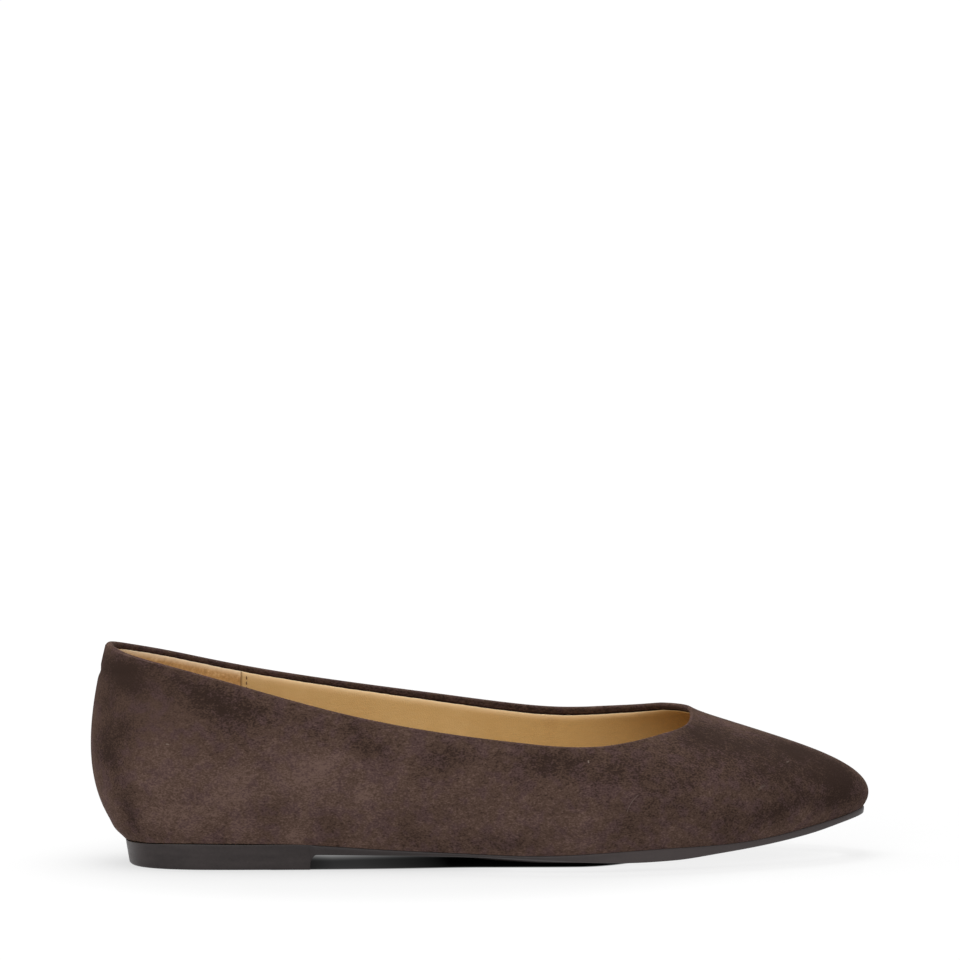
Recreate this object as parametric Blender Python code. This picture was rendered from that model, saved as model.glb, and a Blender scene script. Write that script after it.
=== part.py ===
"""Ballet flat with a tapered toe, right shoe: moulded outsole with a low heel, hollow upper and insole.

Sizes are in millimetres and become metres when a mesh is made. While the shoe is worked out, x runs
forward from the rearmost point of the heel, y runs to the medial side (the wearer's left) and z runs up
from the floor. One parent empty then puts the middle of the shoe's box on the origin.

The upper is a wall between two closed lines: the feather line, where it meets the sole, and the collar.
Both are read with one parameter t. It runs from 0 at the back of the heel along the lateral side to 1 at
the toe tip, and along the medial side back to 2.
"""

from collections import namedtuple

import bmesh
import bpy
import numpy as np

MM = 0.001

# Upper
LINING_WALL = 2.1
COLLAR_WALL = 1.6
COLLAR_FOLD = 1.6
FOLD_STEP = 0.4
COLLAR_LIP = 1.0
COLLAR_LIP_REACH = 3.5

# Outsole and heel
SEAT_GAP = 0.3
SOLE_EDGE_SWELL = 0.25
SOLE_EDGE_ROUND = 0.6
HEEL_TAPER = 0.8
HEEL_BREAST_X = 71.2
HEEL_BREAST_SLOPE = 1.2
FOREFOOT_FLAT = 0.25

# Insole
INSOLE_THICKNESS = 3.0
INSOLE_CLEARANCE = 0.4
INSOLE_EDGE_ROUND = 0.8

# Mesh density
LOOP_STEPS = 84
WALL_STEPS = 12
SOLE_ACROSS = 10
INSOLE_ACROSS = 6

# Feather line: half-widths and heights of the edge where upper and sole meet, one row for each section.
Feather = namedtuple("Feather", "x lateral medial lateral_z medial_z")
FEATHER = [
    Feather(11.3, 0.0, 0.0, 8.1, 8.1),
    Feather(13.8, -9.8, 9.8, 8.3, 8.3),
    Feather(20.0, -16.9, 16.9, 8.6, 8.6),
    Feather(32.0, -21.4, 21.4, 8.9, 8.9),
    Feather(48.0, -23.0, 22.5, 8.8, 9.0),
    Feather(70.0, -24.0, 20.8, 8.4, 9.3),
    Feather(95.0, -26.0, 20.0, 6.9, 8.8),
    Feather(120.0, -30.0, 24.5, 6.0, 7.1),
    Feather(145.0, -34.8, 31.5, 5.5, 5.7),
    Feather(165.0, -36.3, 35.5, 6.3, 6.2),
    Feather(185.0, -34.0, 35.2, 7.3, 7.3),
    Feather(205.0, -28.5, 32.0, 8.3, 8.3),
    Feather(222.0, -21.5, 26.5, 9.8, 9.8),
    Feather(237.5, -13.0, 19.3, 11.9, 11.9),
    Feather(249.5, -4.3, 12.3, 14.3, 14.3),
    Feather(256.0, 5.0, 5.0, 16.2, 16.2),
]

# Collar: the outer edge of the opening, one row for each section above.
Collar = namedtuple("Collar", "lateral_x lateral lateral_z medial_x medial medial_z")
COLLAR = [
    Collar(4.9, 0.0, 71.9, 4.9, 0.0, 71.9),
    Collar(8.0, -8.6, 71.0, 8.0, 8.6, 71.4),
    Collar(15.0, -15.2, 69.0, 15.0, 15.2, 69.8),
    Collar(28.0, -20.4, 65.8, 28.0, 20.4, 67.0),
    Collar(45.0, -23.0, 61.2, 45.0, 23.2, 63.1),
    Collar(68.0, -24.8, 54.6, 68.0, 25.0, 58.5),
    Collar(93.0, -26.6, 48.5, 93.0, 26.6, 54.5),
    Collar(117.0, -29.4, 44.4, 117.0, 29.0, 50.9),
    Collar(139.0, -32.4, 41.8, 139.0, 32.6, 47.7),
    Collar(155.0, -33.8, 40.5, 156.0, 34.8, 45.9),
    Collar(169.0, -32.4, 40.8, 171.0, 34.0, 46.1),
    Collar(180.5, -27.6, 42.0, 183.0, 29.8, 46.6),
    Collar(189.0, -20.4, 42.8, 191.6, 23.2, 47.3),
    Collar(195.0, -12.2, 44.3, 197.0, 15.2, 47.8),
    Collar(198.4, -4.2, 46.2, 199.2, 8.6, 47.9),
    Collar(199.5, 2.6, 47.5, 199.5, 2.6, 47.5),
]

# Wall: how the wall leaves the feather line (out and up) and comes up to the collar (from out and below).
Wall = namedtuple("Wall", "low_out low_up high_out high_down")
WALL = [
    Wall(14.9, 15.2, 6.5, 28.0),
    Wall(13.5, 15.6, 6.4, 28.0),
    Wall(10.5, 16.5, 6.5, 27.5),
    Wall(8.0, 16.5, 6.0, 26.0),
    Wall(6.5, 16.0, 5.0, 23.0),
    Wall(5.5, 16.0, 4.0, 20.0),
    Wall(5.0, 16.0, 3.0, 17.0),
    Wall(4.8, 15.0, 3.0, 15.0),
    Wall(4.8, 15.0, 3.5, 14.0),
    Wall(5.0, 15.0, 4.5, 13.0),
    Wall(5.5, 15.0, 7.0, 12.0),
    Wall(6.5, 15.0, 12.0, 11.0),
    Wall(8.0, 14.5, 19.0, 10.0),
    Wall(9.4, 13.6, 25.0, 9.0),
    Wall(9.9, 13.5, 29.0, 8.5),
    Wall(9.9, 13.4, 31.0, 8.2),
]

# Underside of the outsole in front of the heel: height of the middle and of the two edges.
Underside = namedtuple("Underside", "x middle lateral medial")
UNDERSIDE = [
    Underside(70.0, 4.6, 4.7, 6.2),
    Underside(95.0, 4.2, 4.4, 6.0),
    Underside(120.0, 2.4, 3.9, 4.6),
    Underside(150.0, 0.0, 2.4, 2.5),
    Underside(176.0, 0.0, 2.3, 2.4),
    Underside(190.0, 0.8, 3.0, 3.0),
    Underside(206.0, 2.5, 4.4, 4.4),
    Underside(222.0, 5.2, 6.7, 6.7),
    Underside(237.0, 8.4, 9.4, 9.4),
    Underside(249.0, 11.7, 12.0, 12.0),
    Underside(256.5, 13.7, 13.7, 13.7),
]

HEEL_BACK_X = FEATHER[0].x
TOE_TIP_X = FEATHER[-1].x
FEATHER_LENGTH = TOE_TIP_X - HEEL_BACK_X
PERIOD = 2.0


def station(x):
    """The parameter t, from 0 to 1, of the lateral section at x on the feather line."""
    return np.arccos(1 - 2 * (np.asarray(x) - HEEL_BACK_X) / FEATHER_LENGTH) / np.pi


LATERAL_KNOTS = station([row.x for row in FEATHER])
KNOTS = np.concatenate([LATERAL_KNOTS, PERIOD - LATERAL_KNOTS[-2:0:-1]])


def around(lateral, medial):
    """A table's lateral column from heel to toe, followed by its medial column from toe to heel."""
    return np.array(list(lateral) + list(medial)[-2:0:-1])


def closed_spline(values, t):
    """The smooth closed curve through one value at each knot, read at the parameters t."""
    spans = np.diff(np.append(KNOTS, KNOTS[0] + PERIOD))
    before = np.roll(spans, 1)
    slopes = (np.roll(values, -1) - values) / spans
    count = len(values)
    rows = np.arange(count)
    system = np.zeros((count, count))
    system[rows, rows] = 2 * (before + spans)
    system[rows, (rows + 1) % count] = spans
    system[rows, (rows - 1) % count] = before
    bends = np.linalg.solve(system, 6 * (slopes - np.roll(slopes, 1)))
    t = np.mod(t, PERIOD)
    here = np.searchsorted(KNOTS, t, side="right") - 1
    there = (here + 1) % count
    b = (t - KNOTS[here]) / spans[here]
    a = 1 - b
    bend = (a**3 - a) * bends[here] + (b**3 - b) * bends[there]
    return a * values[here] + b * values[there] + bend * spans[here] ** 2 / 6


def feather_line(t):
    """Points of the feather line."""
    x = HEEL_BACK_X + FEATHER_LENGTH * (1 - np.cos(np.pi * t)) / 2
    y = closed_spline(around([r.lateral for r in FEATHER], [r.medial for r in FEATHER]), t)
    z = closed_spline(around([r.lateral_z for r in FEATHER], [r.medial_z for r in FEATHER]), t)
    return np.stack([x, y, z], axis=-1)


def collar_line(t):
    """Points of the collar's outer edge."""
    x = closed_spline(around([r.lateral_x for r in COLLAR], [r.medial_x for r in COLLAR]), t)
    y = closed_spline(around([r.lateral for r in COLLAR], [r.medial for r in COLLAR]), t)
    z = closed_spline(around([r.lateral_z for r in COLLAR], [r.medial_z for r in COLLAR]), t)
    return np.stack([x, y, z], axis=-1)


def wall_column(name, t):
    column = [getattr(row, name) for row in WALL]
    return closed_spline(around(column, column), t)[..., None]


def outward(line, t):
    """Unit vectors in plan that point out of a closed line."""
    step = 1e-4
    along = line(t + step) - line(t - step)
    across = np.stack([along[..., 1], -along[..., 0], np.zeros_like(along[..., 0])], axis=-1)
    return across / np.linalg.norm(across, axis=-1, keepdims=True)


UP = np.array([0.0, 0.0, 1.0])


def outer_wall(t, v):
    """The upper's outer face: v is 0 on the feather line and 1 on the collar.

    Each wall line is a cubic curve that leaves the feather line outwards and up, and meets the collar
    from outside and below. The collar's rim lifts a little over the vamp.
    """
    foot = feather_line(t)
    top = collar_line(t)
    low = foot + wall_column("low_out", t) * outward(feather_line, t) + wall_column("low_up", t) * UP
    high_out = wall_column("high_out", t)
    high = top + high_out * outward(collar_line, t) - wall_column("high_down", t) * UP
    v = v[..., None]
    face = (1 - v) ** 3 * foot + 3 * (1 - v) ** 2 * v * low + 3 * (1 - v) * v**2 * high + v**3 * top
    below_collar = np.linalg.norm(face - top, axis=-1, keepdims=True)
    vamp = np.clip((high_out - 6.0) / 12.0, 0, 1)
    return face + COLLAR_LIP * vamp * np.exp(-below_collar / COLLAR_LIP_REACH) * UP


def wall_frame(t, v):
    """Unit vectors on the outer face: out of it, and along it towards the collar."""
    step = 1e-4
    low, high = np.maximum(v - step, 0), np.minimum(v + step, 1)
    rising = outer_wall(t, high) - outer_wall(t, low)
    along = outer_wall(t + step, v) - outer_wall(t - step, v)
    out = np.cross(along, rising)
    out /= np.linalg.norm(out, axis=-1, keepdims=True)
    return out, rising / np.linalg.norm(rising, axis=-1, keepdims=True)


def inner_wall(t, v, thickness):
    """The outer face moved in by the wall's thickness. Its lower edge stays level with the feather line."""
    out, _ = wall_frame(t, v)
    face = outer_wall(t, v) - thickness * out
    at_foot = v <= 0
    face[at_foot, 2] = outer_wall(t, v)[at_foot, 2]
    return face


def share_below_collar(t, distance):
    """The parameter v at a distance down the outer face from the collar."""
    step = 0.02
    end = np.ones_like(t)
    rise = np.linalg.norm(outer_wall(t, end) - outer_wall(t, end - step), axis=-1)
    return 1 - distance * step / rise


def loop_parameters():
    return np.arange(LOOP_STEPS) * PERIOD / LOOP_STEPS


def upper_loops():
    """Closed loops over the wall: up the outside, over the rounded rim and down the inside."""
    t = loop_parameters()
    outside = [outer_wall(t, np.full_like(t, v)) for v in np.linspace(0, 1, WALL_STEPS + 1)]
    top = np.ones_like(t)
    out, rising = wall_frame(t, top)
    middle = outer_wall(t, top) - COLLAR_WALL / 2 * out
    turns = np.radians([45, 90, 135])
    rim = [middle + COLLAR_WALL / 2 * (np.cos(a) * out + np.sin(a) * rising) for a in turns]
    fold = share_below_collar(t, COLLAR_FOLD)
    below_fold = share_below_collar(t, COLLAR_FOLD + FOLD_STEP)
    inside = [inner_wall(t, top, COLLAR_WALL), inner_wall(t, fold, COLLAR_WALL)]
    shares = np.linspace(1, 0, WALL_STEPS)
    inside += [inner_wall(t, below_fold * share, LINING_WALL) for share in shares]
    return outside + rim + inside


def insole_loops():
    """Closed loops of the insole's edge, just inside the upper's inner face, from its foot to its top."""
    t = loop_parameters()
    level = feather_line(t)[..., 2]
    shares = np.linspace(0, 0.3, 25)
    inside = np.array([inner_wall(t, np.full_like(t, v), LINING_WALL) for v in shares])
    out = outward(feather_line, t)

    def edge(height, inset):
        points = np.array([
            [np.interp(level[i] + height, inside[:, i, 2], inside[:, i, axis]) for axis in range(3)]
            for i in range(LOOP_STEPS)
        ])
        return points - (INSOLE_CLEARANCE + inset) * out

    shoulder = INSOLE_THICKNESS - INSOLE_EDGE_ROUND
    return [edge(0.0, 0.0), edge(shoulder, 0.0), edge(INSOLE_THICKNESS, INSOLE_EDGE_ROUND)]


def sole_stations():
    """Parameters t of the outsole's sections, with one at the foot and one at the head of the heel breast."""
    breast = station([HEEL_BREAST_X, HEEL_BREAST_X + HEEL_BREAST_SLOPE])
    even = np.linspace(0, 1, LOOP_STEPS // 2 + 1)
    clear = np.abs(even - breast.mean()) > 0.5 / LOOP_STEPS
    return np.sort(np.concatenate([even[clear], breast]))


def underside(name, x):
    """A column of the underside's table at x: a smooth curve that stays level where two rows are equal."""
    rows = np.array([row.x for row in UNDERSIDE])
    column = np.array([getattr(row, name) for row in UNDERSIDE])
    spans = np.diff(rows)
    slopes = np.diff(column) / spans
    mean = 2 * slopes[1:] * slopes[:-1] / np.where(slopes[1:] + slopes[:-1] == 0, 1, slopes[1:] + slopes[:-1])
    bends = np.concatenate([slopes[:1], np.where(slopes[1:] * slopes[:-1] > 0, mean, 0), slopes[-1:]])
    x = np.clip(x, rows[0], rows[-1])
    here = np.clip(np.searchsorted(rows, x, side="right") - 1, 0, len(spans) - 1)
    b = (x - rows[here]) / spans[here]
    ends = (1 + 2 * b) * (1 - b) ** 2 * column[here] + b**2 * (3 - 2 * b) * column[here + 1]
    return ends + spans[here] * b * (1 - b) * ((1 - b) * bends[here] - b * bends[here + 1])


def sole_rim(t, inset, height):
    """Points of the outsole's edge: inset from the feather line, at a height from the underside (0) to the top (1)."""
    line = feather_line(t)
    flat_x = line[..., 0]
    lateral = np.mod(t, PERIOD) <= 1
    lifted = np.where(lateral, underside("lateral", flat_x), underside("medial", flat_x))
    in_heel = flat_x <= HEEL_BREAST_X + HEEL_BREAST_SLOPE / 2
    foot = np.where(in_heel, 0.0, lifted)
    inset = np.where(in_heel, np.maximum(inset, 0) + (1 - height) * HEEL_TAPER, inset)
    rim = line - inset[..., None] * outward(feather_line, t)
    rim[..., 2] = foot + height * (line[..., 2] - SEAT_GAP - foot)
    return rim


def sole_loops():
    """Closed loops of the outsole's edge from the underside up to the seat, as (lateral, medial) halves."""
    half = sole_stations()
    t = np.concatenate([half, PERIOD - half[-2:0:-1]])
    edge = [(SOLE_EDGE_ROUND, 0.0), (0.0, 0.3), (-SOLE_EDGE_SWELL, 0.6), (-SOLE_EDGE_SWELL, 0.9), (0.2, 1.0)]
    return [sole_rim(t, np.full_like(t, inset), height) for inset, height in edge]


def ladder(loop, across, sink=None):
    """Rows of points from the lateral half of a closed loop straight across to its medial half."""
    count = len(loop) // 2
    lateral = loop[: count + 1]
    medial = np.concatenate([loop[:1], loop[:count - 1:-1]])
    share = np.linspace(0, 1, across + 1)[None, :, None]
    rows = lateral[:, None] * (1 - share) + medial[:, None] * share
    return rows if sink is None else sink(rows)


def sink_underside(rows):
    """Brings the middle of the underside down to its own height, level across the middle of the tread."""
    share = np.abs(np.linspace(-1, 1, rows.shape[1]))
    edge = np.clip((share - FOREFOOT_FLAT) / (1 - FOREFOOT_FLAT), 0, 1) ** 1.4
    x = rows[..., 0]
    middle = np.where(x <= HEEL_BREAST_X + HEEL_BREAST_SLOPE / 2, 0.0, underside("middle", x))
    rows[..., 2] = middle * (1 - edge) + rows[..., 2] * edge
    return rows


def new_mesh(name, faces_of):
    """An object from a function that fills a bmesh, with doubled points merged and faces turned outwards."""
    shape = bmesh.new()
    faces_of(shape)
    bmesh.ops.remove_doubles(shape, verts=shape.verts, dist=1e-6)
    bmesh.ops.recalc_face_normals(shape, faces=shape.faces)
    mesh = bpy.data.meshes.new(name)
    shape.to_mesh(mesh)
    shape.free()
    mesh.shade_smooth()
    mesh.set_sharp_from_angle(angle=np.radians(40))
    obj = bpy.data.objects.new(name, mesh)
    bpy.context.scene.collection.objects.link(obj)
    return obj


def vertices(shape, points):
    return [shape.verts.new(point * MM) for point in points]


def bridge(shape, lower, upper):
    """Four-sided faces between two closed loops of vertices."""
    count = len(lower)
    for i in range(count):
        j = (i + 1) % count
        shape.faces.new((lower[i], lower[j], upper[j], upper[i]))


def cap(shape, rows):
    """Faces over a ladder of points. The first and last rows are single points at the heel and the toe."""
    grid = [vertices(shape, row) for row in rows]
    for here, there in zip(grid, grid[1:]):
        for i in range(len(here) - 1):
            shape.faces.new((here[i], here[i + 1], there[i + 1], there[i]))


def fill_upper(shape):
    loops = [vertices(shape, loop) for loop in upper_loops()]
    for lower, upper in zip(loops, loops[1:] + loops[:1]):
        bridge(shape, lower, upper)


def fill_insole(shape):
    edge = insole_loops()
    loops = [vertices(shape, loop) for loop in edge]
    for lower, upper in zip(loops, loops[1:]):
        bridge(shape, lower, upper)
    cap(shape, ladder(edge[0], INSOLE_ACROSS))
    cap(shape, ladder(edge[-1], INSOLE_ACROSS))


def fill_outsole(shape):
    edge = sole_loops()
    loops = [vertices(shape, loop) for loop in edge]
    for lower, upper in zip(loops, loops[1:]):
        bridge(shape, lower, upper)
    cap(shape, ladder(edge[0], SOLE_ACROSS, sink_underside))
    cap(shape, ladder(edge[-1], SOLE_ACROSS))


def finish(name, colour, roughness):
    """A plain material with the piece's colour and gloss."""
    material = bpy.data.materials.new(name)
    material.use_nodes = True
    shader = material.node_tree.nodes["Principled BSDF"]
    shader.inputs["Base Color"].default_value = (*colour, 1.0)
    shader.inputs["Roughness"].default_value = roughness
    shader.inputs["Metallic"].default_value = 0.0
    return material


def main():
    for old in list(bpy.data.objects):
        bpy.data.objects.remove(old)
    pieces = [
        (new_mesh("outsole", fill_outsole), finish("dark_rubber", (0.045, 0.040, 0.038), 0.45)),
        (new_mesh("upper", fill_upper), finish("brown_suede", (0.060, 0.037, 0.030), 0.95)),
        (new_mesh("insole", fill_insole), finish("tan_leather", (0.47, 0.28, 0.11), 0.55)),
    ]
    corners = np.concatenate([[v.co for v in obj.data.vertices] for obj, _ in pieces])
    middle = (corners.min(axis=0) + corners.max(axis=0)) / 2
    shoe = bpy.data.objects.new("ballet_flat", None)
    shoe.location = (-middle[0], -middle[1], 0.0)
    bpy.context.scene.collection.objects.link(shoe)
    for obj, material in pieces:
        obj.data.materials.append(material)
        obj.parent = shoe


main()
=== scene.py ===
from collections import namedtuple

import bmesh
import bpy
import numpy as np
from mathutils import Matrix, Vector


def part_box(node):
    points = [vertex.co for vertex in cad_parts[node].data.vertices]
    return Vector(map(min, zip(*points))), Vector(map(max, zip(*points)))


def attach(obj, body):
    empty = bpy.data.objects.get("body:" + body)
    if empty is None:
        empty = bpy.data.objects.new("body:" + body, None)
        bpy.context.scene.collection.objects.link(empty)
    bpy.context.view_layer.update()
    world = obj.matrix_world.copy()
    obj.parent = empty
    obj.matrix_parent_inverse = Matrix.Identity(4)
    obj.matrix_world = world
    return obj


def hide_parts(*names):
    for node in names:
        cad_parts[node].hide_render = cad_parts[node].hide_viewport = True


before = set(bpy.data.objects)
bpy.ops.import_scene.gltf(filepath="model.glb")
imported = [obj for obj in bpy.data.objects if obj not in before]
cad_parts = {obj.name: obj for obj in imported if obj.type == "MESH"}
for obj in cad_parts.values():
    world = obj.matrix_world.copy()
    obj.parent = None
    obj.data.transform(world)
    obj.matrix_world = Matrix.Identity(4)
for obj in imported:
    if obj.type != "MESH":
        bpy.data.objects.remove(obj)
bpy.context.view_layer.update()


# Upper. One skin of dark brown suede, drawn over the last and joined by a seam down the back of the heel.
# Its top edge is turned in over the lining, and its lower edge is glued down between insole and outsole.
# The nap shows the strokes of the brush and of the hand as lighter and darker clouds, and the same clouds
# hold painted shade, darkest at the toe and on top of the vamp.
#
# Sizes are in millimetres. x runs forward from the rearmost point of the heel, y to the medial side and z up
# from the floor. Closed lines round the shoe are read with t: 0 at the back of the heel, along the lateral
# side to 1 at the toe tip, and along the medial side back to 2.
MM = 0.001
PERIOD = 2.0
SUEDE = 1.0
COLLAR_WALL = 1.6
COLLAR_FOLD = 0.95
BACK_ROLL, BACK_ROLL_T = 0.9, 0.1
BALL_FOLD, BALL_X, BALL_REACH = 0.65, 148.0, 60.0
THROAT_FOLD, THROAT_CORNER_T, THROAT_REACH_T = 1.5, 0.10, 0.07
COLLAR_LIP, COLLAR_LIP_REACH = 1.0, 3.5
VAMP_STARTS_OUT, VAMP_FULL_OUT = 6.0, 18.0
UP = np.array([0.0, 0.0, 1.0])

Feather = namedtuple("Feather", "x lateral medial lateral_z medial_z")
FEATHER = [
    Feather(11.8, 0.0, 0.0, 8.1, 8.1),
    Feather(13.8, -9.8, 9.8, 8.3, 8.3),
    Feather(20.0, -16.9, 16.9, 8.6, 8.6),
    Feather(32.0, -21.4, 21.4, 8.9, 8.9),
    Feather(48.0, -23.0, 22.5, 8.8, 9.0),
    Feather(70.0, -24.0, 20.8, 8.4, 9.3),
    Feather(95.0, -26.0, 20.0, 6.9, 8.8),
    Feather(120.0, -30.0, 24.5, 6.0, 7.1),
    Feather(145.0, -34.8, 31.5, 5.5, 5.7),
    Feather(165.0, -36.3, 35.5, 6.3, 6.2),
    Feather(185.0, -34.0, 35.2, 7.3, 7.3),
    Feather(205.0, -28.5, 32.0, 7.8, 8.1),
    Feather(222.0, -21.5, 26.5, 9.2, 9.5),
    Feather(237.5, -13.0, 19.3, 11.9, 11.9),
    Feather(249.5, -4.3, 12.3, 14.3, 14.3),
    Feather(256.0, 5.0, 5.0, 16.2, 16.2),
]

Collar = namedtuple("Collar", "lateral_x lateral lateral_z medial_x medial medial_z")
COLLAR = [
    Collar(5.4, 0.0, 71.8, 5.4, 0.0, 71.8),
    Collar(8.3, -8.6, 70.5, 8.3, 8.6, 71.3),
    Collar(15.0, -15.2, 68.8, 15.0, 15.2, 69.8),
    Collar(28.0, -20.4, 65.8, 28.0, 20.4, 67.0),
    Collar(45.0, -23.0, 61.2, 45.0, 23.2, 63.1),
    Collar(68.0, -24.8, 54.6, 68.0, 25.0, 58.7),
    Collar(93.0, -26.6, 48.5, 93.0, 26.6, 54.7),
    Collar(117.0, -29.4, 44.4, 117.0, 29.0, 51.1),
    Collar(139.0, -32.4, 41.8, 139.0, 32.6, 47.7),
    Collar(155.0, -33.8, 40.5, 156.0, 34.8, 45.9),
    Collar(169.0, -32.4, 40.8, 171.0, 34.0, 46.1),
    Collar(180.5, -27.6, 42.0, 183.0, 29.8, 46.8),
    Collar(189.0, -20.4, 42.8, 191.6, 23.2, 47.6),
    Collar(195.7, -12.2, 44.1, 197.2, 15.2, 48.0),
    Collar(198.5, -4.2, 45.6, 199.2, 8.6, 47.9),
    Collar(199.3, 2.6, 46.9, 199.3, 2.6, 46.9),
]

Wall = namedtuple("Wall", "low_out low_up high_out high_down")
WALL = [
    Wall(14.1, 14.8, 7.0, 28.0),
    Wall(12.9, 15.3, 6.8, 28.0),
    Wall(10.3, 16.4, 6.6, 27.5),
    Wall(8.0, 16.5, 6.0, 26.0),
    Wall(6.5, 16.0, 5.0, 23.0),
    Wall(5.5, 16.0, 4.0, 20.0),
    Wall(5.0, 16.0, 3.0, 17.0),
    Wall(4.8, 15.0, 3.0, 15.0),
    Wall(4.8, 15.0, 3.5, 14.0),
    Wall(5.0, 15.0, 4.5, 13.0),
    Wall(5.5, 15.0, 7.0, 12.0),
    Wall(6.5, 15.0, 12.0, 11.0),
    Wall(8.0, 14.5, 19.0, 10.0),
    Wall(9.4, 13.6, 25.0, 8.5),
    Wall(9.9, 13.5, 29.0, 7.8),
    Wall(9.9, 13.4, 31.0, 7.5),
]

HEEL_BACK_X = FEATHER[0].x
FEATHER_LENGTH = FEATHER[-1].x - HEEL_BACK_X


def station(x):
    """The t of the lateral section at x: x is half the length times one minus the cosine of pi t."""
    return np.arccos(1 - 2 * (np.asarray(x) - HEEL_BACK_X) / FEATHER_LENGTH) / np.pi


LATERAL_KNOTS = station([row.x for row in FEATHER])
KNOTS = np.concatenate([LATERAL_KNOTS, PERIOD - LATERAL_KNOTS[-2:0:-1]])


def closed_spline(lateral, medial, t):
    """The cubic spline of a table's two columns, closed round the shoe.

    Second derivatives at the knots solve the usual ring of equations, and between two knots the value is
    the straight blend plus the two cubic bends.
    """
    values = np.array(list(lateral) + list(medial)[-2:0:-1])
    spans = np.diff(np.append(KNOTS, KNOTS[0] + PERIOD))
    before = np.roll(spans, 1)
    slopes = (np.roll(values, -1) - values) / spans
    count = len(values)
    ring = np.arange(count)
    system = np.zeros((count, count))
    system[ring, ring] = 2 * (before + spans)
    system[ring, (ring + 1) % count] = spans
    system[ring, (ring - 1) % count] = before
    bends = np.linalg.solve(system, 6 * (slopes - np.roll(slopes, 1)))
    t = np.mod(t, PERIOD)
    here = np.searchsorted(KNOTS, t, side="right") - 1
    there = (here + 1) % count
    b = (t - KNOTS[here]) / spans[here]
    a = 1 - b
    bend = (a**3 - a) * bends[here] + (b**3 - b) * bends[there]
    return a * values[here] + b * values[there] + bend * spans[here] ** 2 / 6


def feather_line(t):
    """The line where upper and sole meet: x by cosine of t, y and z splined through the table."""
    x = HEEL_BACK_X + FEATHER_LENGTH * (1 - np.cos(np.pi * t)) / 2
    y = closed_spline([r.lateral for r in FEATHER], [r.medial for r in FEATHER], t)
    z = closed_spline([r.lateral_z for r in FEATHER], [r.medial_z for r in FEATHER], t)
    return np.stack([x, y, z], axis=-1)


def collar_line(t):
    """The outer edge of the opening: x, y and z splined through the table."""
    x = closed_spline([r.lateral_x for r in COLLAR], [r.medial_x for r in COLLAR], t)
    y = closed_spline([r.lateral for r in COLLAR], [r.medial for r in COLLAR], t)
    z = closed_spline([r.lateral_z for r in COLLAR], [r.medial_z for r in COLLAR], t)
    return np.stack([x, y, z], axis=-1)


def wall_column(name, t):
    """One column of the wall's table, the same on both sides of the shoe."""
    column = [getattr(row, name) for row in WALL]
    return closed_spline(column, column, t)[..., None]


def outward(line, t):
    """Unit vectors in plan, square to a closed line and pointing out of it."""
    step = 1e-4
    along = line(t + step) - line(t - step)
    across = np.stack([along[..., 1], -along[..., 0], np.zeros_like(along[..., 0])], axis=-1)
    return across / np.linalg.norm(across, axis=-1, keepdims=True)


def outer_wall(t, v):
    """The smooth outer face, with v from 0 on the feather line to 1 on the collar.

    Each wall line is a cubic Bezier curve: out and up from the feather line, and in to the collar from
    outside and below. Over the vamp the rim lifts, by a height that dies away exponentially from the collar.
    """
    foot = feather_line(t)
    top = collar_line(t)
    low = foot + wall_column("low_out", t) * outward(feather_line, t) + wall_column("low_up", t) * UP
    high_out = wall_column("high_out", t)
    high = top + high_out * outward(collar_line, t) - wall_column("high_down", t) * UP
    v = v[..., None]
    face = (1 - v) ** 3 * foot + 3 * (1 - v) ** 2 * v * low + 3 * (1 - v) * v**2 * high + v**3 * top
    from_top = np.linalg.norm(face - top, axis=-1, keepdims=True)
    vamp = np.clip((high_out - VAMP_STARTS_OUT) / (VAMP_FULL_OUT - VAMP_STARTS_OUT), 0, 1)
    return face + COLLAR_LIP * vamp * np.exp(-from_top / COLLAR_LIP_REACH) * UP


def wall_frame(t, v):
    """Unit vectors on the outer face: out of it, by the cross product of its tangents, and up along it."""
    step = 1e-4
    rising = outer_wall(t, np.minimum(v + step, 1)) - outer_wall(t, np.maximum(v - step, 0))
    along = outer_wall(t + step, v) - outer_wall(t - step, v)
    out = np.cross(along, rising)
    out /= np.linalg.norm(out, axis=-1, keepdims=True)
    return out, rising / np.linalg.norm(rising, axis=-1, keepdims=True)


def below_collar(t, distance):
    """The v at a distance down the wall from the collar, by the length of the wall line's last fiftieth."""
    step = 0.02
    top = np.ones_like(t)
    rise = np.linalg.norm(outer_wall(t, top) - outer_wall(t, top - step), axis=-1)
    return 1 - distance * step / rise


def bell(distance, reach):
    """A soft bump: one at distance nought, falling off as the exponential of minus the square."""
    return np.exp(-((distance / reach) ** 2))


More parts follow.
